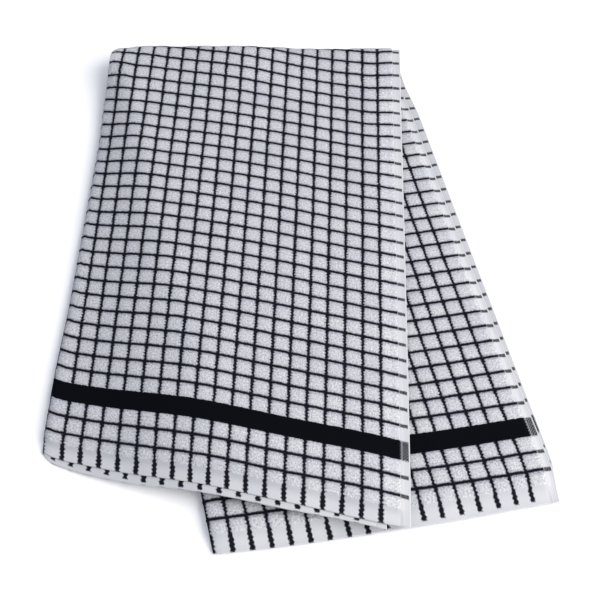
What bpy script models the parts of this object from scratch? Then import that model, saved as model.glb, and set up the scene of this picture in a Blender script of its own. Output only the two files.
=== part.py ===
"""Terry tea towel, folded in half down its length and then in half across it.

The first fold is at the left and the two selvedges are at the right. The second fold is
at the back, and the two halves are fanned apart at it: the front half lies on top, turned
one way, and the back half lies on the table, turned the other. Four layers from the top:
front outer, front inner, back inner, back outer. The outer layer is the same half of the
cloth on both sides of the crosswise fold, and so is the inner one.

+X is right, +Y is away, +Z is up. The cloth rests on z = 0. The whole towel is one solid.
"""

import math

import bpy

MM = 0.001

# cloth
THICK = 3.0  # with its pile, mm
LAYER_R = 2.0  # half the pitch of two layers, so the lengthwise fold's radius
HALF_R = 4.0  # half the pitch of the two halves, so the crosswise fold's radius
FOLD_WIDTH = 240.0  # nominal width of the folded strip, for reading the tables
FOLD_LENGTH = 390.0  # nominal length of a half

# where the crosswise fold starts at the left, and which way it runs
FOLD_LEFT = (-148.44, 212.68)
FOLD_TURN = math.radians(-1.48)
FOLD_STRETCH = 1.005  # terry gives a little along the fold

# lean of the cloth's length from straight down, positive to the left going down
FRONT_LEAN = math.radians(2.09)
FRONT_LEAN_ACROSS = math.radians(0.50)  # more of it towards the selvedge
FRONT_LEAN_DOWN = math.radians(-0.10)
FRONT_LEAN_TWIST = math.radians(0.26)
BACK_LEAN = math.radians(-12.19)
BACK_LEAN_DOWN = math.radians(-0.85)
BACK_SHIFT, BACK_SHIFT_WITHIN = 3.6, 70.0  # the back half eases sideways below its fold

# crosswise fold: it stands a little proud, most by the selvedge
FOLD_PUFF, FOLD_PUFF_WAVE = 2.28, 0.56
WAVE_AT, WAVE_PITCH = 222.0, 120.0
PUFF_FADES = 40.0

# front half where it climbs from the table on to the back half's lengthwise fold
RIDGE_AT, RIDGE_AT_DOWN = 12.0, 20.0  # right of that fold, and how it moves down the cloth
SLOPE, SLOPE_DOWN = 66.0, 100.0  # length of the climb
RIDGE_RISE, RIDGE_RISE_DOWN = 1.5, 5.5
RIDGE_FADES = 170.0
EDGE_SINKS, EDGE_WITHIN = 1.0, 12.0

# Length of each layer from the crosswise fold to its hem, and width from the lengthwise
# fold to its selvedge: on the crosswise fold, just below it, and at the hem.
LAYERS = {
    # layer:       hem at fold, hem at selvedge, width on fold, width below it, width at hem
    "front_outer": (368.0, 416.5, 226.9, 226.9, 230.5),
    "front_inner": (366.0, 408.0, 217.9, 217.9, 214.2),
    "back_inner": (436.0, 391.0, 217.9, 217.9, 217.9),
    "back_outer": (438.0, 391.5, 226.9, 223.9, 219.4),
}
BELOW_FOLD = 40.0

# How far the front half's weave sits below a straight one, mm. One row for each quarter
# of the length, from the crosswise fold to the hem.
FRONT_BOW = (
    # left fold, 1/5, 2/5, 3/5, 4/5, selvedge
    (4.2, 1.9, 0.8, 1.0, 0.3, -1.2),
    (1.9, 2.3, 0.4, -0.5, 0.5, -0.1),
    (-0.5, 0.8, 0.3, -0.8, 0.2, 0.7),
    (-2.1, -1.0, -0.5, -0.6, -0.7, 0.3),
    (-3.4, -2.0, -0.5, -0.2, -1.3, -0.5),
)

# mesh
ACROSS_STEPS = 16  # along each flat layer, across
ALONG_STEPS = 20  # along each flat half, down
FOLD_STEPS = 6  # round the lengthwise fold
CREST_STEPS = 8  # round the crosswise fold


def smooth(t):
    t = min(max(t, 0.0), 1.0)
    return t * t * (3 - 2 * t)


def mix(a, b, t):
    return a + (b - a) * t


def spline_weights(t, count):
    """Weights of count evenly spaced values in a smooth curve read at t from 0 to 1."""
    t = min(max(t, 0.0), 1.0) * (count - 1)
    i = min(int(t), count - 2)
    f = t - i
    taps = (
        (-f + 2 * f * f - f**3) / 2,
        (2 - 5 * f * f + 3 * f**3) / 2,
        (f + 4 * f * f - 3 * f**3) / 2,
        (-f * f + f**3) / 2,
    )
    weights = [0.0] * count
    for step, tap in zip((-1, 0, 1, 2), taps):
        j = i + step
        if j < 0:  # past an end the curve goes straight on
            weights[0] += 2 * tap
            weights[1] -= tap
        elif j >= count:
            weights[-1] += 2 * tap
            weights[-2] -= tap
        else:
            weights[j] += tap
    return weights


def read(table, down, across):
    rows = spline_weights(down, len(table))
    columns = spline_weights(across, len(table[0]))
    return sum(
        r * c * value
        for r, row in zip(rows, table)
        for c, value in zip(columns, row)
    )


def strip(arc):
    """Place across the folded strip, and height in it, for a distance round the
    lengthwise fold: positive on the outer layer, negative on the inner one."""
    quarter = math.pi / 2 * LAYER_R
    if abs(arc) < quarter:
        turn = arc / LAYER_R
        return LAYER_R * (1 - math.cos(turn)), LAYER_R * math.sin(turn)
    return LAYER_R + abs(arc) - quarter, math.copysign(LAYER_R, arc)


def crest_radius(across):
    wave = math.cos(2 * math.pi * (across - WAVE_AT) / WAVE_PITCH)
    return HALF_R + FOLD_PUFF + FOLD_PUFF_WAVE * wave


def place(arc, along):
    """Middle of the cloth, mm. along is the distance from the crosswise fold, positive
    on the front half and negative on the back half."""
    across, lift = strip(arc)
    crest = crest_radius(across)
    radius = crest + lift
    quarter = math.pi / 2 * radius
    outermost = crest + LAYER_R
    on_fold = abs(along) < quarter
    if on_fold:
        turn = along / radius
        down = outermost - radius * math.cos(turn)
        side = math.sin(turn)
    else:
        down = outermost + abs(along) - quarter
        side = math.copysign(1.0, along)
    front = along > 0
    u, d = across / FOLD_WIDTH, down / FOLD_LENGTH
    front_lean = (
        FRONT_LEAN
        + FRONT_LEAN_ACROSS * (u - 0.5)
        + FRONT_LEAN_DOWN * (d - 0.5)
        + FRONT_LEAN_TWIST * (u - 0.5) * (d - 0.5) * 4
    )
    back_lean = BACK_LEAN + BACK_LEAN_DOWN * (d - 0.5)
    lean = mix(back_lean, front_lean, (1 + side) / 2)
    off_fold = smooth((down - outermost) / 30)
    reach, shift = down, 0.0
    if front:
        reach += off_fold * read(FRONT_BOW, d, u)
    else:
        shift = BACK_SHIFT * smooth(down / BACK_SHIFT_WITHIN)
    along_fold = across * FOLD_STRETCH + shift
    x = (
        FOLD_LEFT[0]
        + along_fold * math.cos(FOLD_TURN)
        - reach * math.sin(lean)
    )
    y = (
        FOLD_LEFT[1]
        + along_fold * math.sin(FOLD_TURN)
        - reach * math.cos(lean)
    )
    if on_fold:
        return x, y, THICK / 2 + LAYER_R + crest + radius * side
    if not front:
        return x, y, THICK / 2 + LAYER_R - lift
    puff = (crest - HALF_R) * math.exp(-(((down - outermost) / PUFF_FADES) ** 2))
    z = THICK / 2 + LAYER_R + 2 * (HALF_R + puff) + lift
    # distance to the right of the back half's lengthwise fold, which holds this half up
    corner_x = FOLD_LEFT[0] + BACK_SHIFT * math.cos(FOLD_TURN)
    corner_y = FOLD_LEFT[1] + BACK_SHIFT * math.sin(FOLD_TURN)
    beside = (x - corner_x) * math.cos(BACK_LEAN) - (y - corner_y) * math.sin(BACK_LEAN)
    past_ridge = beside - (RIDGE_AT + RIDGE_AT_DOWN * (d - 0.5))
    slope = max(SLOPE + SLOPE_DOWN * (d - 0.5), 15.0)
    climb = smooth((past_ridge + slope) / slope)
    rise = RIDGE_RISE + RIDGE_RISE_DOWN * d
    if past_ridge > 0:
        rise *= 1 - smooth(past_ridge / RIDGE_FADES)
    else:
        rise *= climb
    sink = EDGE_SINKS * math.exp(-((across / EDGE_WITHIN) ** 2)) * climb
    return x, y, z + off_fold * (rise - sink - 2 * HALF_R * (1 - climb))


def arcs():
    """Stations across the cloth from selvedge to selvedge: (layer side, share of the
    flat part, angle round the fold)."""
    outer = [(1, 1 - i / ACROSS_STEPS, 0.0) for i in range(ACROSS_STEPS)]
    fold = [
        (0, 0.0, math.pi / 2 - math.pi * i / FOLD_STEPS) for i in range(FOLD_STEPS + 1)
    ]
    inner = [(-1, (i + 1) / ACROSS_STEPS, 0.0) for i in range(ACROSS_STEPS)]
    return outer + fold + inner


def section(side, share, angle, half):
    """Arcs across for one station, on the crosswise fold, just below it and at the hem,
    and the hem's distance from the crosswise fold. half is front or back."""
    hem_fold_o, hem_selvedge_o, *widths_o = LAYERS[half + "_outer"]
    hem_fold_i, hem_selvedge_i, *widths_i = LAYERS[half + "_inner"]
    if side == 0:
        arc = LAYER_R * angle
        t = (1 + math.sin(angle)) / 2
        return [arc] * 3, mix(hem_fold_i, hem_fold_o, t)
    quarter = math.pi / 2 * LAYER_R
    if side > 0:
        widths, hems = widths_o, (hem_fold_o, hem_selvedge_o)
    else:
        widths, hems = widths_i, (hem_fold_i, hem_selvedge_i)
    arcs = [side * mix(quarter, w + quarter - LAYER_R, share) for w in widths]
    return arcs, mix(hems[0], hems[1], share)


def column(station):
    """Points down one warp line, from the front hem over the fold to the back hem."""
    points = []
    for half, sign in (("front", 1), ("back", -1)):
        (top, below, hem), length = section(*station, half)
        across, lift = strip(top)
        quarter = math.pi / 2 * (crest_radius(across) + lift)
        run = []
        for i in range(ALONG_STEPS):
            t = 1 - i / ALONG_STEPS
            along = mix(quarter, length, t)
            drawn = mix(top, below, smooth((along - quarter) / BELOW_FOLD))
            run.append(place(drawn + (hem - below) * t, sign * along))
        turns = [
            place(top, sign * (crest_radius(across) + lift) * math.pi * k / CREST_STEPS)
            for k in range(CREST_STEPS // 2, 0, -1)
        ]
        if sign > 0:
            points += run + turns + [place(top, 0.0)]
        else:
            points += (run + turns)[::-1]
    return points


def main():
    for thing in list(bpy.data.objects):
        bpy.data.objects.remove(thing, do_unlink=True)

    columns = [column(s) for s in arcs()]
    rows = len(columns[0])
    points = [(x * MM, y * MM, z * MM) for c in columns for x, y, z in c]
    faces = [
        (
            i * rows + j,
            i * rows + j + 1,
            (i + 1) * rows + j + 1,
            (i + 1) * rows + j,
        )
        for i in range(len(columns) - 1)
        for j in range(rows - 1)
    ]
    mesh = bpy.data.meshes.new("towel")
    mesh.from_pydata(points, [], faces)
    mesh.update()
    towel = bpy.data.objects.new("towel", mesh)
    bpy.context.scene.collection.objects.link(towel)
    mesh.shade_smooth()

    body = towel.modifiers.new("body", "SOLIDIFY")
    body.thickness = THICK * MM
    body.offset = 0.0
    body.use_even_offset = True
    body.use_rim = True

    terry = bpy.data.materials.new("terry")
    terry.use_nodes = True
    shader = terry.node_tree.nodes["Principled BSDF"]
    shader.inputs["Base Color"].default_value = (0.70, 0.70, 0.74, 1.0)
    shader.inputs["Roughness"].default_value = 0.95
    shader.inputs["Metallic"].default_value = 0.0
    mesh.materials.append(terry)


main()
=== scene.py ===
"""Folded check tea towel: looks, floor, light and camera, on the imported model.

The cloth is worked out in its own flat coordinates and then laid out folded:

  column  warp stripes lie at whole numbers, -18 to 17; the cloth's width is -19.5 to 18.5
  row     weft lines lie at whole numbers; the cloth's length is -HEM - 33 to HEM

A row counts down the front half. The back half is its mirror image, so both are drawn
from pick(row), which is the row counted towards the nearer hem.
"""

import bpy
import numpy as np
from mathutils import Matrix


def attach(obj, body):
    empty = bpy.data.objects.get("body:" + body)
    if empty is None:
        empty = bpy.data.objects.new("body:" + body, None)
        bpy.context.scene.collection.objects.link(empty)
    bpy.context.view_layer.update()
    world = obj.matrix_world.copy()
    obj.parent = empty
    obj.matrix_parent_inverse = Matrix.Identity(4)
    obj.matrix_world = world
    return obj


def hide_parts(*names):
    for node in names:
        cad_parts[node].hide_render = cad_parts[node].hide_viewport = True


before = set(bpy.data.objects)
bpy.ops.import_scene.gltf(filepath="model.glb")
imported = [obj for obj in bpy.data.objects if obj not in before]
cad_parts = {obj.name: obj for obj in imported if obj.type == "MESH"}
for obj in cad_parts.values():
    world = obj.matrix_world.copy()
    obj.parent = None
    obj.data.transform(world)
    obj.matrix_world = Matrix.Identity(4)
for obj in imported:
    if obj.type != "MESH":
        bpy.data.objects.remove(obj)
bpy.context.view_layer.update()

MM = 0.001
RNG = np.random.default_rng(7)

# ---------------------------------------------------------------- the cloth, flat

CHECK = 11.7  # pitch of the warp stripes, mm
LINE = 12.164  # pitch of the weft lines, mm
COLUMNS = (-19.5, 18.5)
SELVEDGE = 0.5  # columns of flat selvedge at each side
MIDDLE = -16.5  # the row that the two ends mirror about
LAST_LINE = 11.0  # last weft line of the checks, before the band
BAND = (11.88, 13.0)
END_LINES = (13.906, 14.906)
PILE_END = 15.62  # from here to the edge is the flat hem
HEM = 16.4

# The hems are turned and stitched by hand-and-eye, so they stray from the weave. Row of
# the edge at columns across the cloth.
FRONT_HEM = (
    (-19.5, 16.80),
    (-16.0, 16.70),
    (-12.0, 16.60),
    (-9.0, 16.57),
    (-6.4, 16.58),
    (-3.7, 16.45),
    (-2.0, 16.26),
    (-1.0, 16.10),
    (0.0, 16.24),
    (4.0, 16.27),
    (8.0, 16.24),
    (13.0, 16.28),
    (15.5, 16.39),
    (17.4, 16.37),
    (18.5, 16.26),
)
BACK_HEM = (
    (-19.5, 16.60),
    (-17.0, 16.60),
    (-12.0, 16.72),
    (-9.0, 16.75),
    (-5.0, 16.66),
    (-1.0, 16.54),
    (2.0, 16.60),
    (10.0, 16.72),
    (16.5, 16.68),
    (17.6, 16.52),
    (18.5, 16.20),
)

# ---------------------------------------------------------------- the folds, as in the CAD

THICK = 3.0
LAYER_R = 2.0
HALF_R = 4.0
FOLD_WIDTH = 240.0
FOLD_LENGTH = 390.0

FOLD_LEFT = (-148.44, 212.68)
FOLD_TURN = np.radians(-1.48)
FOLD_STRETCH = 1.005

FRONT_LEAN = np.radians(2.09)
FRONT_LEAN_ACROSS = np.radians(0.50)
FRONT_LEAN_DOWN = np.radians(-0.10)
FRONT_LEAN_TWIST = np.radians(0.26)
BACK_LEAN = np.radians(-12.19)
BACK_LEAN_DOWN = np.radians(-0.85)
BACK_SHIFT, BACK_SHIFT_WITHIN = 3.6, 70.0

FOLD_PUFF, FOLD_PUFF_WAVE = 2.28, 0.56
WAVE_AT, WAVE_PITCH = 222.0, 120.0
PUFF_FADES = 40.0

RIDGE_AT, RIDGE_AT_DOWN = 12.0, 20.0
SLOPE, SLOPE_DOWN = 66.0, 100.0
RIDGE_RISE, RIDGE_RISE_DOWN = 1.5, 5.5
RIDGE_FADES = 170.0
EDGE_SINKS, EDGE_WITHIN = 1.0, 12.0

FRONT_BOW = (
    # left fold, 1/5, 2/5, 3/5, 4/5, selvedge
    (4.2, 1.9, 0.8, 1.0, 0.3, -1.2),
    (1.9, 2.3, 0.4, -0.5, 0.5, -0.1),
    (-0.5, 0.8, 0.3, -0.8, 0.2, 0.7),
    (-2.1, -1.0, -0.5, -0.6, -0.7, 0.3),
    (-3.4, -2.0, -0.5, -0.2, -1.3, -0.5),
)

# Where the weave sits on the folds. The lengthwise fold lies at FOLD_COLUMN, which
# drifts down the front half, and the crosswise fold slants over the rows.
FOLD_COLUMN_BACK, FOLD_COLUMN_BACK_DRIFT = -0.775, -0.10  # at the fold, and over 390 mm
FOLD_COLUMN_FRONT, FOLD_COLUMN_DRIFT = -0.988, -0.27
ROW_AT_FOLD = -14.004
ROW_DRIFT = 0.0528  # over 390 mm of the front half
ROWS_PER_COLUMN = -0.1808

# How far the inner front layer and the outer back one creep from their neighbours by
# the hem, mm: at the lengthwise fold and at the selvedge.
CREEP_FRONT_INNER = (3.2, 9.0)
CREEP_BACK_OUTER = (4.3, 0.0)

# Width of each layer from the lengthwise fold to its selvedge: at the crosswise fold, hem.
WIDTH_FRONT_OUTER = (226.9, 230.5)
WIDTH_FRONT_INNER = (217.9, 216.2)
WIDTH_BACK_INNER = (217.9, 217.9)
WIDTH_BACK_OUTER = (223.9, 219.2)  # once it is clear of the crosswise fold


def smooth(t):
    t = np.clip(t, 0, 1)
    return t * t * (3 - 2 * t)


def mix(a, b, t):
    return a + (b - a) * t


def spline_weights(t, count):
    t = np.clip(t, 0, 1) * (count - 1)
    i = np.minimum(t.astype(int), count - 2)
    f = t - i
    taps = (
        (-f + 2 * f * f - f**3) / 2,
        (2 - 5 * f * f + 3 * f**3) / 2,
        (f + 4 * f * f - 3 * f**3) / 2,
        (-f * f + f**3) / 2,
    )
    weights = np.zeros((count,) + t.shape)
    for k in range(count):
        for step, tap in zip((-1, 0, 1, 2), taps):
            j = i + step
            weights[k] += np.where(j == k, tap, 0)
            if k == 0:
                weights[k] += np.where(j < 0, 2 * tap, 0)
            if k == 1:
                weights[k] -= np.where(j < 0, tap, 0)
            if k == count - 1:
                weights[k] += np.where(j >= count, 2 * tap, 0)
            if k == count - 2:
                weights[k] -= np.where(j >= count, tap, 0)
    return weights


def read(table, down, across):
    table = np.asarray(table)
    rows = spline_weights(down, table.shape[0])
    columns = spline_weights(across, table.shape[1])
    return np.einsum("a...,b...,ab->...", rows, columns, table)


def strip(arc):
    quarter = np.pi / 2 * LAYER_R
    turn = np.clip(arc / LAYER_R, -np.pi / 2, np.pi / 2)
    across = np.where(
        abs(arc) < quarter,
        LAYER_R * (1 - np.cos(turn)),
        LAYER_R + abs(arc) - quarter,
    )
    return across, LAYER_R * np.sin(turn)


def crest_radius(across):
    wave = np.cos(2 * np.pi * (across - WAVE_AT) / WAVE_PITCH)
    return HALF_R + FOLD_PUFF + FOLD_PUFF_WAVE * wave


def place(arc, along):
    """Middle of the cloth, mm, as part.py places it."""
    across, lift = strip(arc)
    crest = crest_radius(across)
    radius = crest + lift
    quarter = np.pi / 2 * radius
    outermost = crest + LAYER_R
    on_fold = abs(along) < quarter
    turn = np.clip(along / radius, -np.pi / 2, np.pi / 2)
    down = np.where(
        on_fold, outermost - radius * np.cos(turn), outermost + abs(along) - quarter
    )
    side = np.where(on_fold, np.sin(turn), np.sign(along))
    front = along > 0
    u, d = across / FOLD_WIDTH, down / FOLD_LENGTH
    front_lean = (
        FRONT_LEAN
        + FRONT_LEAN_ACROSS * (u - 0.5)
        + FRONT_LEAN_DOWN * (d - 0.5)
        + FRONT_LEAN_TWIST * (u - 0.5) * (d - 0.5) * 4
    )
    back_lean = BACK_LEAN + BACK_LEAN_DOWN * (d - 0.5)
    lean = mix(back_lean, front_lean, (1 + side) / 2)
    off_fold = smooth((down - outermost) / 30)
    reach = down + front * off_fold * read(FRONT_BOW, d, u)
    shift = np.where(front, 0, BACK_SHIFT * smooth(down / BACK_SHIFT_WITHIN))
    along_fold = across * FOLD_STRETCH + shift
    x = FOLD_LEFT[0] + along_fold * np.cos(FOLD_TURN) - reach * np.sin(lean)
    y = FOLD_LEFT[1] + along_fold * np.sin(FOLD_TURN) - reach * np.cos(lean)
    z_fold = THICK / 2 + LAYER_R + crest + radius * side
    z_back = THICK / 2 + LAYER_R - lift
    puff = (crest - HALF_R) * np.exp(
        -((np.maximum(down - outermost, 0) / PUFF_FADES) ** 2)
    )
    z = THICK / 2 + LAYER_R + 2 * (HALF_R + puff) + lift
    corner_x = FOLD_LEFT[0] + BACK_SHIFT * np.cos(FOLD_TURN)
    corner_y = FOLD_LEFT[1] + BACK_SHIFT * np.sin(FOLD_TURN)
    beside = (x - corner_x) * np.cos(BACK_LEAN) - (y - corner_y) * np.sin(BACK_LEAN)
    past_ridge = beside - (RIDGE_AT + RIDGE_AT_DOWN * (d - 0.5))
    slope = np.maximum(SLOPE + SLOPE_DOWN * (d - 0.5), 15.0)
    climb = smooth((past_ridge + slope) / slope)
    rise = (RIDGE_RISE + RIDGE_RISE_DOWN * d) * np.where(
        past_ridge > 0, 1 - smooth(past_ridge / RIDGE_FADES), climb
    )
    sink = EDGE_SINKS * np.exp(-((across / EDGE_WITHIN) ** 2)) * climb
    z_front = z + off_fold * (rise - sink - 2 * HALF_R * (1 - climb))
    return np.stack(
        [x, y, np.where(on_fold, z_fold, np.where(front, z_front, z_back))], -1
    )


def lay(column, row):
    """Arc across and distance along for a point of the weave: the folds cross the weave
    at a slant, so the distance is settled in a few turns."""
    along = (row - MIDDLE + 2) * LINE
    for _ in range(6):
        past = along / FOLD_LENGTH
        near_hem = smooth((past - 0.8) / 0.2)
        near_crest = smooth((along + 60) / 60)
        fold_column = np.where(
            along > 0,
            FOLD_COLUMN_FRONT + FOLD_COLUMN_DRIFT * past + 0.13 * near_hem,
            mix(
                FOLD_COLUMN_BACK + FOLD_COLUMN_BACK_DRIFT * past**4,
                FOLD_COLUMN_FRONT,
                near_crest,
            ),
        )
        t = np.clip(abs(along) / 400, 0, 1.1)
        front = along > 0
        drawn_in = mix(WIDTH_FRONT_OUTER[0], WIDTH_BACK_OUTER[0], smooth(-along / 40))
        outer = np.where(
            front,
            mix(*WIDTH_FRONT_OUTER, t),
            drawn_in + (WIDTH_BACK_OUTER[1] - WIDTH_BACK_OUTER[0]) * t * t,
        )
        inner = np.where(front, mix(*WIDTH_FRONT_INNER, t), mix(*WIDTH_BACK_INNER, t))
        extra = (np.pi / 2 - 1) * LAYER_R  # an arc is this much longer than its width
        beside = column - fold_column
        share = np.where(
            beside > 0,
            beside / (COLUMNS[1] - fold_column),
            beside / (fold_column - COLUMNS[0]),
        )
        arc = share * np.where(beside > 0, outer + extra, inner + extra)
        # the back hem draws in its ends
        end = smooth((abs(column + 0.5) - 16) / 3) * np.sign(share)
        arc -= 3.0 * end * smooth((-along - 368) / 26)
        # the front hem is not stitched quite evenly along
        arc += 2.1 * near_hem * np.exp(-(((column - 4.5) / 3.2) ** 2)) * (arc > 0)
        arc += 3.1 * near_hem * (1 + share) * smooth(-arc / 8)
        # nor is the fold: it holds a little more of the cloth beside stripe -1
        held = np.exp(-(((column + 1) / 0.45) ** 2)) * smooth((along + 20) / 40)
        arc -= (2.2 - 0.5 * smooth((along - 150) / 150)) * held
        across, lift = strip(arc)
        inside = (1 - lift / LAYER_R) / 2  # 0 on the outer layer, 1 on the inner one
        reach = abs(arc) / 228
        creep = np.where(
            front,
            mix(*CREEP_FRONT_INNER, reach) * inside,
            mix(*CREEP_BACK_OUTER, reach) * (1 - inside),
        )
        zero_row = ROW_AT_FOLD + np.where(front, ROW_DRIFT * past, 0.045 * (1 - near_crest))
        slant = -ROWS_PER_COLUMN * abs(arc) / CHECK
        along = LINE * (row - zero_row + slant) - creep * t
        # the weave is drawn up a little at the selvedge, most just in front of the crest
        drawn = 3.3 * (1 - smooth((along - 95) / 50)) + 1.3 - 0.9 * smooth((along - 200) / 180)
        drawn = drawn * smooth((column - 16.3) / 2.2) * smooth((along + 60) / 40)
        # and at the lengthwise fold, where it turns down out of sight
        drawn += 2.6 * smooth((-0.58 - column) / 0.45) * smooth((column + 2.4) / 1.2) * (
            smooth((along - 10) / 40)
        )
        drawn += 2.8 * smooth((0.9 - column) / 1.8) * smooth((column + 5) / 3) * (
            np.exp(-(((along - 64) / 32) ** 2)) * front
        )
        # near the corner of the two folds it hangs down instead
        drawn -= 1.5 * np.exp(-(((column - 0.8) / 1.0) ** 2)) * smooth((along + 10) / 30) * (
            np.exp(-(((along - 42) / 34) ** 2))
        )
        drawn -= 2.0 * smooth((1.5 - column) / 2) * smooth((column + 5) / 3) * (
            np.exp(-(((along - 5) / 15) ** 2))
        )
        # the back half's lower layer lies a little further out at its selvedge
        drawn += 3.2 * (1 - inside) * smooth((column - 14) / 3) * (
            smooth((-along - 15) / 40) * (1 - smooth((-along - 335) / 45))
        )
        along = along - drawn
    return arc, along


def pick(row):
    return abs(row - MIDDLE) + MIDDLE


def to_hem(column, row):
    """Where a row really lies: past the last weft line the cloth runs out to its hem."""
    j = pick(row)
    front = np.interp(column, *zip(*FRONT_HEM))
    back = np.interp(column, *zip(*BACK_HEM))
    share = (j - END_LINES[1]) / (HEM - END_LINES[1])
    j = np.where(
        share > 0, mix(END_LINES[1], np.where(row > MIDDLE, front, back), share), j
    )
    return np.where(row > MIDDLE, j, 2 * MIDDLE - j)


def edge_sag(column, arc, along):
    """How far the cloth sinks at its selvedges below an even 4 mm pitch, mm."""
    upper = (1 + np.clip(arc / LAYER_R, -1, 1) * np.sign(along)) / 2
    front = along > 0
    inward = np.minimum(column - COLUMNS[0], COLUMNS[1] - column)
    front_outer = 1.5 * smooth((1.6 - inward) / 0.9) + 0.4 * smooth((0.5 - inward) / 0.5)
    over = np.where(front, front_outer, 1.5 * smooth((0.55 - inward) / 0.35))
    under = np.where(front, 0.9, -1.2) * smooth((0.55 - inward) / 0.35)
    return mix(under, over, upper) * smooth((abs(along) - 20) / 50), upper, inward


def settle(column, row, arc, along, z):
    """How far the cloth sinks in all: its hems and selvedges are thinner than its pile,
    so the layer above comes down on to them, and the front hem droops off the ridge."""
    sides, upper, _ = edge_sag(column, arc, along)
    j = pick(row)
    in_hem = smooth((j - 15.2) / (HEM - 15.2))
    off_table = smooth((z - THICK / 2 - 2 * LAYER_R * upper) / 8) * (along > 0)
    droop = 2.2 * smooth((j - 13.2) / (HEM - 13.2)) * off_table
    return mix(sides, mix(0.85, 3.4, upper), in_hem) + droop


# ---------------------------------------------------------------- relief


def to_nearest(values, targets):
    targets = np.asarray(targets, float)
    return abs(values[..., None] - targets).min(-1)


def relief(column, row):
    """Height of the outer face above the middle of the cloth, mm."""
    j = pick(row)
    stripe = to_nearest(column, np.arange(-18, 18)) * CHECK
    line = to_nearest(j, [*np.arange(-17, 12), *END_LINES]) * LINE
    pile = 1.60 - 0.30 * np.exp(-((stripe / 1.1) ** 2)) - 0.55 * np.exp(-((line / 0.8) ** 2))
    pile += 0.12 * smooth(stripe / 5) * smooth(line / 5)
    in_band = smooth((j - BAND[0]) / 0.05 + 0.5) * smooth((BAND[1] - j) / 0.05 + 0.5)
    in_hem = smooth((j - PILE_END) / 0.08)
    edge = np.minimum(column - COLUMNS[0], COLUMNS[1] - column) - SELVEDGE
    in_selvedge = smooth(0.5 - edge / 0.12)
    height = mix(pile, 1.0, in_band)
    height = mix(height, 0.65, in_hem)
    return mix(height, 0.5, in_selvedge)


# ---------------------------------------------------------------- mesh


def lines_across():
    """Columns of mesh lines, each with whether the back face has it too."""
    out = []
    for n in range(-18, 17):
        for f, both in (
            (0.0, True),
            (0.1, False),
            (0.3, False),
            (0.5, True),
            (0.7, False),
            (0.9, False),
        ):
            out.append((n + f, both or n in (-2, -1)))  # the fold needs them all
    right = [
        (17.0, True),
        (17.1, False),
        (17.3, False),
        (17.5, True),
        (17.75, False),
        (17.95, True),
        (18.05, False),
        (18.25, True),
        (18.43, False),
        (18.48, False),
        (18.5, True),
    ]
    left = [(-1 - c, both) for c, both in right[:0:-1]]
    return left + out + right


def lines_down():
    half = [(MIDDLE, True), (MIDDLE + 0.4, False)]
    for n in range(-16, 11):
        half += [(n, True), (n + 0.1, False), (n + 0.5, True), (n + 0.9, False)]
    half += [
        (11.0, True),
        (11.1, False),
        (11.45, True),
        (11.8, False),
        (BAND[0], True),
        (11.94, False),
        (12.44, True),
        (12.94, False),
        (BAND[1], True),
        (13.08, False),
        (13.45, True),
        (13.81, False),
        (END_LINES[0], True),
        (14.0, False),
        (14.4, True),
        (14.81, False),
        (END_LINES[1], True),
        (15.0, False),
        (15.3, True),
        (15.54, False),
        (PILE_END, True),
        (15.70, False),
        (16.0, True),
        (16.25, False),
        (16.35, False),
        (16.385, False),
        (HEM, True),
    ]
    other = [(2 * MIDDLE - r, both) for r, both in half[:0:-1]]
    return other + half


def unit(v):
    return v / np.linalg.norm(v, axis=-1, keepdims=True)


def sheet_points(column, row):
    arc, along = lay(column, to_hem(column, row))
    # the selvedge is woven tighter, so its rows run on level where it lies lower
    sides, _, inward = edge_sag(column, arc, along)
    lower = sides + 1.1 * smooth((0.5 - inward) / 0.1 + 0.5)
    lower = lower * (1 - smooth((pick(row) - 14.6) / 0.9))
    along = along - 0.3 * lower * np.clip(along / 40, -1, 1)
    middle = place(arc, along)
    middle[..., 2] -= settle(column, row, arc, along, middle[..., 2])
    # the corner between the two folds is rounded
    corner = np.clip(1 - strip(arc)[0] / 38, 0, 1) ** 2 * np.exp(-((along / 22) ** 2))
    middle[..., 1] -= 7.5 * corner
    middle[..., 0] += 4.0 * corner * np.exp(-((along / 12) ** 2))
    # and the front half's lengthwise fold is pressed in a little between its ends
    pressed = np.exp(-((strip(arc)[0] / 6) ** 2)) * smooth((along - 50) / 60)
    middle[..., 0] += 1.6 * pressed * (1 - smooth((along - 245) / 70))
    e = 0.1
    right = place(arc + e, along) - place(arc - e, along)
    down = place(arc, along + e) - place(arc, along - e)
    return middle, unit(np.cross(down, right)), arc


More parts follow.
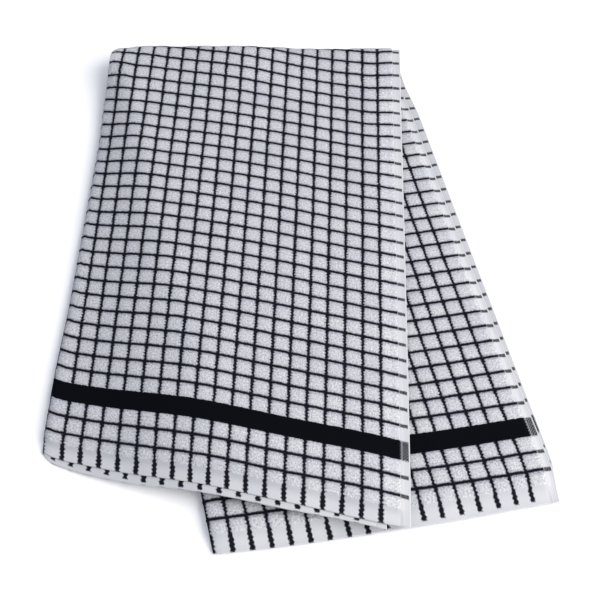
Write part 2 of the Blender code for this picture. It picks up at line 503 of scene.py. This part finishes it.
def build_towel():
    columns, rows = lines_across(), lines_down()
    c_fine = np.array([c for c, _ in columns])
    r_fine = np.array([r for r, _ in rows])
    c_both = [i for i, (_, both) in enumerate(columns) if both]
    r_both = [i for i, (_, both) in enumerate(rows) if both]
    column, row = np.meshgrid(c_fine, r_fine, indexing="ij")
    middle, normal, arc = sheet_points(column, row)

    # each check is plumped a little differently, and the pile is never quite even
    cells = RNG.normal(0, 0.06, (60, 90))
    plump = cells[(column + 20).astype(int) % 60, (row + 52).astype(int) % 90]
    uneven = RNG.normal(0, 0.035, column.shape)
    height = relief(column, row)
    height -= 0.9 * smooth((height - 1.1) / 0.4) * np.exp(-((arc / 2.6) ** 2))  # pressed
    soft = smooth((height - 1.1) / 0.4)
    outer = middle + normal * (height + (plump + uneven) * soft)[..., None]
    outer[..., 2] = np.maximum(outer[..., 2], 0.0)

    inner_height = np.minimum(relief(column, row), 1.5)
    inner = middle - normal * inner_height[..., None]
    inner[..., 2] = np.maximum(inner[..., 2], 0.0)
    inner = inner[np.ix_(c_both, r_both)]

    n_c, n_r = len(c_fine), len(r_fine)
    m_c, m_r = len(c_both), len(r_both)

    # a rounded edge: one ring of points, pushed out from the middle of the cloth
    ring_at = (
        [(i, 0) for i in range(n_c - 1)]
        + [(n_c - 1, j) for j in range(n_r - 1)]
        + [(i, n_r - 1) for i in range(n_c - 1, 0, -1)]
        + [(0, j) for j in range(n_r - 1, 0, -1)]
    )
    ring = []
    for i, j in ring_at:
        out = np.zeros(3)
        if i in (0, n_c - 1):
            out += unit(middle[i, j] - middle[1 if i == 0 else n_c - 2, j])
        if j in (0, n_r - 1):
            out += unit(middle[i, j] - middle[i, 1 if j == 0 else n_r - 2])
        ring.append(middle[i, j] + unit(out) * 0.35)
    ring = np.array(ring)

    points = np.concatenate([outer.reshape(-1, 3), inner.reshape(-1, 3), ring])
    first_inner = n_c * n_r
    first_ring = first_inner + m_c * m_r
    faces = [
        (i * n_r + j, (i + 1) * n_r + j, (i + 1) * n_r + j + 1, i * n_r + j + 1)
        for i in range(n_c - 1)
        for j in range(n_r - 1)
    ]
    faces += [
        tuple(
            first_inner + k
            for k in (
                i * m_r + j,
                i * m_r + j + 1,
                (i + 1) * m_r + j + 1,
                (i + 1) * m_r + j,
            )
        )
        for i in range(m_c - 1)
        for j in range(m_r - 1)
    ]
    c_index = {i: k for k, i in enumerate(c_both)}
    r_index = {j: k for k, j in enumerate(r_both)}

    def inner_point(i, j):
        if i in c_index and j in r_index:
            return first_inner + c_index[i] * m_r + r_index[j]
        return None

    count = len(ring_at)
    last = None
    for k in range(count + 1):
        p = inner_point(*ring_at[k % count])
        if p is not None:
            last, start = p, k
            break
    for step in range(count):
        k = (start + step) % count
        n = (k + 1) % count
        a, b = ring_at[k], ring_at[n]
        faces.append((a[0] * n_r + a[1], first_ring + k, first_ring + n, b[0] * n_r + b[1])[::-1])
        p = inner_point(*b)
        if p is None:
            faces.append((first_ring + k, last, first_ring + n)[::-1])
        else:
            faces.append((first_ring + k, last, p, first_ring + n)[::-1])
            last = p

    mesh = bpy.data.meshes.new("tea_towel")
    mesh.from_pydata((points * MM).tolist(), [], faces)
    weave = mesh.attributes.new("weave", "FLOAT_VECTOR", "POINT")
    coordinates = np.zeros((len(points), 3), "f")
    coordinates[:first_inner, 0] = column.ravel()
    coordinates[:first_inner, 1] = row.ravel()
    both = np.ix_(c_both, r_both)
    coordinates[first_inner:first_ring, 0] = column[both].ravel()
    coordinates[first_inner:first_ring, 1] = row[both].ravel()
    coordinates[first_inner:first_ring, 2] = 1.0
    coordinates[first_ring:, 0] = [column[i, j] for i, j in ring_at]
    coordinates[first_ring:, 1] = [row[i, j] for i, j in ring_at]
    weave.data.foreach_set("vector", coordinates.ravel())
    mesh.update()
    mesh.shade_smooth()
    mesh.set_sharp_from_angle(angle=np.radians(62))
    towel = bpy.data.objects.new("tea_towel", mesh)
    bpy.context.scene.collection.objects.link(towel)
    return towel


# ---------------------------------------------------------------- terry


class Web:
    """Sums for a shader. Each call adds a node and gives its output."""

    def __init__(self, tree):
        self.tree = tree

    def node(self, kind, **settings):
        node = self.tree.nodes.new(kind)
        for name, value in settings.items():
            setattr(node, name, value)
        return node

    def feed(self, socket, value):
        if isinstance(value, bpy.types.NodeSocket):
            self.tree.links.new(value, socket)
        else:
            socket.default_value = value

    def math(self, operation, *values):
        node = self.node("ShaderNodeMath", operation=operation)
        for socket, value in zip(node.inputs, values):
            self.feed(socket, value)
        return node.outputs[0]

    def add(self, a, b):
        return self.math("ADD", a, b)

    def sub(self, a, b):
        return self.math("SUBTRACT", a, b)

    def mul(self, a, b):
        return self.math("MULTIPLY", a, b)

    def least(self, a, b):
        return self.math("MINIMUM", a, b)

    def most(self, a, b):
        return self.math("MAXIMUM", a, b)

    def away(self, a):
        return self.math("ABSOLUTE", a)

    def over(self, a, limit):
        """1 where a is more than limit."""
        return self.math("GREATER_THAN", a, limit)

    def ramp(self, value, low, high, to_low=0.0, to_high=1.0):
        node = self.node("ShaderNodeMapRange", interpolation_type="SMOOTHSTEP")
        for socket, v in zip(node.inputs, (value, low, high, to_low, to_high)):
            self.feed(socket, v)
        return node.outputs[0]

    def between(self, a, b, t):
        """a where t is 0, b where it is 1."""
        node = self.node("ShaderNodeMix", data_type="FLOAT")
        self.feed(node.inputs[0], t)
        self.feed(node.inputs[2], a)
        self.feed(node.inputs[3], b)
        return node.outputs[0]

    def tint(self, a, b, t):
        node = self.node("ShaderNodeMix", data_type="RGBA")
        self.feed(node.inputs[0], t)
        self.feed(node.inputs[6], a)
        self.feed(node.inputs[7], b)
        return node.outputs[2]

    def vector(self, x, y, z):
        node = self.node("ShaderNodeCombineXYZ")
        for socket, value in zip(node.inputs, (x, y, z)):
            self.feed(socket, value)
        return node.outputs[0]

    def noise(self, vector, scale, detail=1.0, rough=0.5):
        """From about -0.5 to 0.5."""
        node = self.node("ShaderNodeTexNoise", noise_dimensions="3D")
        self.feed(node.inputs["Vector"], vector)
        node.inputs["Scale"].default_value = scale
        node.inputs["Detail"].default_value = detail
        node.inputs["Roughness"].default_value = rough
        return self.sub(node.outputs[0], 0.5)


WHITE = (0.440, 0.4465, 0.473, 1.0)
WHITE_WARM = (0.478, 0.479, 0.493, 1.0)
INK = (0.0040, 0.0043, 0.0085, 1.0)
BAND_INK = (0.0022, 0.0026, 0.0042, 1.0)


def make_terry():
    material = bpy.data.materials.new("check_terry")
    material.use_nodes = True
    tree = material.node_tree
    shader = tree.nodes["Principled BSDF"]
    web = Web(tree)
    add, sub, mul, least, most = web.add, web.sub, web.mul, web.least, web.most
    away, over, ramp = web.away, web.over, web.ramp

    weave = web.node("ShaderNodeAttribute", attribute_name="weave")
    split = web.node("ShaderNodeSeparateXYZ")
    web.feed(split.inputs[0], weave.outputs["Vector"])
    column, row, face = split.outputs
    x = mul(column, CHECK)
    y = mul(row, LINE)
    cloth = web.vector(x, y, mul(face, 50.0))
    along_warp = web.vector(x, mul(y, 0.45), mul(face, 50.0))
    j = add(away(sub(row, MIDDLE)), MIDDLE)

    # distances in mm to the nearest warp stripe and weft line, with their wander
    wander = web.noise(cloth, 0.22, 1.0)
    ragged = web.noise(cloth, 0.75, 2.0, 0.6)
    ragged_line = web.noise(cloth, 0.6, 1.0)
    to_stripe = mul(sub(column, web.math("ROUND", column)), CHECK)
    zigzag = web.math("SINE", add(mul(y, 2 * np.pi / 2.5), mul(ragged, 4.0)))
    to_stripe = away(add(add(to_stripe, mul(wander, 1.1)), mul(zigzag, 0.20)))
    lower = over(j, 12.4)
    j_line = sub(j, mul(lower, END_LINES[0] - 13))
    below_line = mul(sub(j_line, web.math("ROUND", j_line)), LINE)
    to_line = away(add(below_line, mul(web.noise(cloth, 0.15, 1.0), 0.7)))

    in_weave = mul(over(column, -18.5), web.math("LESS_THAN", column, 17.5))
    in_hem = ramp(j, PILE_END - 0.01, PILE_END + 0.01)

    # stripes: thicker just below each line, thicker again on the hem, and ending short of it
    beads = mul(web.math("SINE", add(mul(y, 2 * np.pi / 2.1), mul(ragged, 5.0))), 0.15)
    stripe_half = add(add(0.94, mul(ragged, 1.35)), beads)
    stripe_half = add(stripe_half, mul(ramp(away(sub(below_line, 1.8)), 2.6, 0.6), 0.30))
    ladder = web.math("COSINE", add(mul(y, 2 * np.pi / 2.5), mul(ragged, 4.0)))
    ladder = mul(ladder, 0.20)
    hem_half = add(add(1.50, mul(ragged, 1.3)), ladder)
    stripe_half = web.between(stripe_half, hem_half, ramp(j, PILE_END - 0.15, PILE_END + 0.2))
    stripe = sub(stripe_half, to_stripe)
    back_hem = mul(web.math("LESS_THAN", row, MIDDLE), ramp(column, -8.5, -11.5))
    stripe_end = web.between(HEM + 0.02, HEM - 0.16, back_hem)
    stripe_end = web.between(stripe_end, sub(HEM, ramp(column, -8, -5, 0.06, 0.15)), face)
    stripe = least(stripe, sub(mul(sub(stripe_end, j), LINE), mul(ragged, 0.8)))
    stripe = least(stripe, sub(mul(in_weave, 40.0), 20.0))

    # lines: crisper than the stripes, and none on the hem
    at_selvedge = mul(over(away(sub(column, -0.5)), 18.5), 0.2)
    line_half = add(add(0.98, at_selvedge), mul(ragged_line, 0.8))
    line = sub(line_half, to_line)
    line = least(line, sub(mul(web.math("LESS_THAN", j, 15.4), 40.0), 20.0))
    band_edge = mul(least(sub(j, BAND[0]), sub(BAND[1], j)), LINE)
    line = least(line, sub(20.0, mul(over(band_edge, 0.0), 40.0)))

    # flat selvedge, outside the terry at both sides
    inward = mul(
        least(sub(column, COLUMNS[0]), sub(COLUMNS[1], column)), CHECK
    )  # mm from the cloth's edge
    width = SELVEDGE * CHECK
    in_selvedge = ramp(inward, width + 0.15, width - 0.15)
    # in it the lines break at the terry's edge, turn grey and stop short of the edge
    gap = ramp(away(sub(inward, width)), 0.0, 0.45)
    short = ramp(inward, 0.45, 0.9)
    strip_line = mul(gap, short)

    ink_field = web.math("SMOOTH_MAX", stripe, line, 1.4)
    ink = ramp(ink_field, -0.60, 0.46)
    thread = ramp(web.noise(cloth, 1.6, 1.0), -0.1, 0.15)
    ink = mul(ink, web.between(0.988, 1.0, thread))  # white loops lean over them
    faded = web.between(1.0, mul(strip_line, web.between(0.82, 1.0, thread)), in_selvedge)
    ink = mul(ink, faded)

    # the band, flat and black, and salt and pepper where it crosses the selvedge
    band_field = add(band_edge, mul(ragged, 0.9))
    in_band = ramp(band_field, -0.2, 0.2)
    threads = mul(
        web.math("SINE", mul(x, 2 * np.pi / 1.9)), web.math("SINE", mul(y, 2 * np.pi / 2.0))
    )
    threads = add(threads, mul(web.noise(cloth, 1.5, 0.0), 1.2))
    pepper = ramp(threads, -0.5, 0.0, 0.55, 0.99)
    white_thread = ramp(away(sub(inward, width - 1.2)), 0.10, 0.45, 0.60, 1.0)
    pepper = mul(mul(pepper, white_thread), ramp(inward, 0.3, 0.6))
    pepper = mul(pepper, ramp(add(band_edge, mul(ragged, 1.4)), -0.1, 0.9, 0.5, 1.0))
    band_ink = mul(in_band, web.between(1.0, pepper, in_selvedge))

    # white loops: mottled, with painted shade in the furrows beside the stripes and lines and
    # just below each line
    loops = web.noise(cloth, 0.8, 1.0, 0.5)
    patches = web.noise(cloth, 0.035, 1.0)
    # painted shade: the loops are darkened in the furrows beside the stripes and lines
    painted_furrow_shade = ramp(web.math("SMOOTH_MAX", stripe, line, 1.5), -2.6, -0.1)
    white = web.tint(WHITE, WHITE_WARM, ramp(patches, -0.25, 0.25))
    shade = sub(1.0, mul(painted_furrow_shade, 0.19))
    # painted shade just below each weft line
    under = mul(over(below_line, 0.0), ramp(below_line, 3.6, 0.8))
    shade = sub(shade, mul(under, 0.15))
    shade = add(shade, mul(loops, 1.2))
    # the hem's flat zone: painted shade under the end of the pile, painted light at the edge, and
    # its ribs painted in faint light and shade
    rib = web.math("SINE", mul(x, 2 * np.pi / 1.3))
    hem_shade = add(
        web.between(0.91, 1.06, ramp(j, PILE_END, PILE_END + 0.5)), mul(rib, 0.02)
    )
    shade = web.between(shade, hem_shade, in_hem)
    # the selvedge: painted shade in a grey groove beside the terry, thin ribs painted in faint
    # light and shade, a painted bright edge
    painted_groove_shade = ramp(away(sub(inward, width - 0.6)), 1.5, 0.2)
    painted_strip_ribs = web.math("SINE", mul(inward, 2 * np.pi / 1.15))
    strip_shade = sub(add(1.02, mul(painted_strip_ribs, 0.035)), mul(painted_groove_shade, 0.12))
    shade = web.between(shade, strip_shade, in_selvedge)
    scaled = web.node("ShaderNodeMix", data_type="RGBA", blend_type="MULTIPLY")
    scaled.inputs[0].default_value = 1.0
    web.feed(scaled.inputs[6], white)
    cool = add(mul(shade, 0.84), 0.16)  # where the loops are darker, mottle and painted shade alike, they are painted a little bluer, as shade is
    web.feed(scaled.inputs[7], web.vector(shade, shade, cool))
    colour = web.tint(scaled.outputs[2], INK, ink)
    colour = web.tint(colour, BAND_INK, band_ink)
    web.feed(shader.inputs["Base Color"], colour)

    # relief finer than the mesh: loops on the pile, ribs on the flat parts
    flat = most(most(in_hem, in_selvedge), in_band)
    fine = web.noise(along_warp, 1.3, 2.0, 0.6)
    twill = mul(web.math("SINE", mul(add(x, y), 2 * np.pi / 1.1)), 0.06)
    height = web.between(
        add(mul(fine, 1.4), mul(ragged, 1.0)), add(mul(rib, 0.05), twill), flat
    )
    height = sub(height, mul(ramp(line, -0.6, 0.3), mul(sub(1.0, flat), 0.35)))
    bump = web.node("ShaderNodeBump")
    bump.inputs["Strength"].default_value = 0.52
    bump.inputs["Distance"].default_value = 0.6 * MM
    web.feed(bump.inputs["Height"], height)
    web.feed(shader.inputs["Normal"], bump.outputs[0])

    shader.inputs["Roughness"].default_value = 0.95
    shader.inputs["Specular IOR Level"].default_value = 0.04
    return material


# ---------------------------------------------------------------- scene


def make_floor():
    mesh = bpy.data.meshes.new("floor")
    mesh.from_pydata(
        [(-6, -6, 0), (6, -6, 0), (6, 6, 0), (-6, 6, 0)], [], [(0, 1, 2, 3)]
    )
    floor = bpy.data.objects.new("floor", mesh)
    bpy.context.scene.collection.objects.link(floor)
    floor.location.z = -0.0002
    material = bpy.data.materials.new("pale_floor")
    material.use_nodes = True
    shader = material.node_tree.nodes["Principled BSDF"]
    shader.inputs["Base Color"].default_value = (0.95, 0.95, 0.95, 1.0)
    shader.inputs["Roughness"].default_value = 0.9
    shader.inputs["Specular IOR Level"].default_value = 0.0
    mesh.materials.append(material)
    return floor


def area_light(name, size, power, at, towards=(0, 0, 0), colour=(1, 1, 1)):
    light = bpy.data.lights.new(name, "AREA")
    light.shape = "SQUARE"
    light.size = size
    light.energy = power
    light.color = colour
    lamp = bpy.data.objects.new(name, light)
    bpy.context.scene.collection.objects.link(lamp)
    lamp.location = at
    gap = lamp.location - type(lamp.location)(towards)
    lamp.rotation_euler = gap.to_track_quat("Z", "Y").to_euler()
    return lamp


def light_it():
    world = bpy.data.worlds.new("studio")
    world.use_nodes = True
    back = world.node_tree.nodes["Background"]
    back.inputs["Color"].default_value = (0.86, 0.90, 1.0, 1.0)
    back.inputs["Strength"].default_value = 0.77
    bpy.context.scene.world = world
    area_light("key", 2.3, 65.0, (1.42, -0.48, 0.90), colour=(1.0, 0.965, 0.925))


def make_camera():
    data = bpy.data.cameras.new("camera")
    data.lens = 66.0
    data.sensor_width = 36.0
    data.clip_start = 0.01
    data.clip_end = 50.0
    camera = bpy.data.objects.new("camera", data)
    bpy.context.scene.collection.objects.link(camera)
    camera.location = (0.00086, -0.46332, 0.612)
    camera.rotation_euler = (np.radians(90 - 54.51), 0.0, 0.0)
    bpy.context.scene.camera = camera


make_camera()
floor = make_floor()
light_it()

towel = build_towel()
towel.data.materials.append(make_terry())
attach(towel, "root")
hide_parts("towel")

bpy.context.scene.view_settings.view_transform = "Standard"
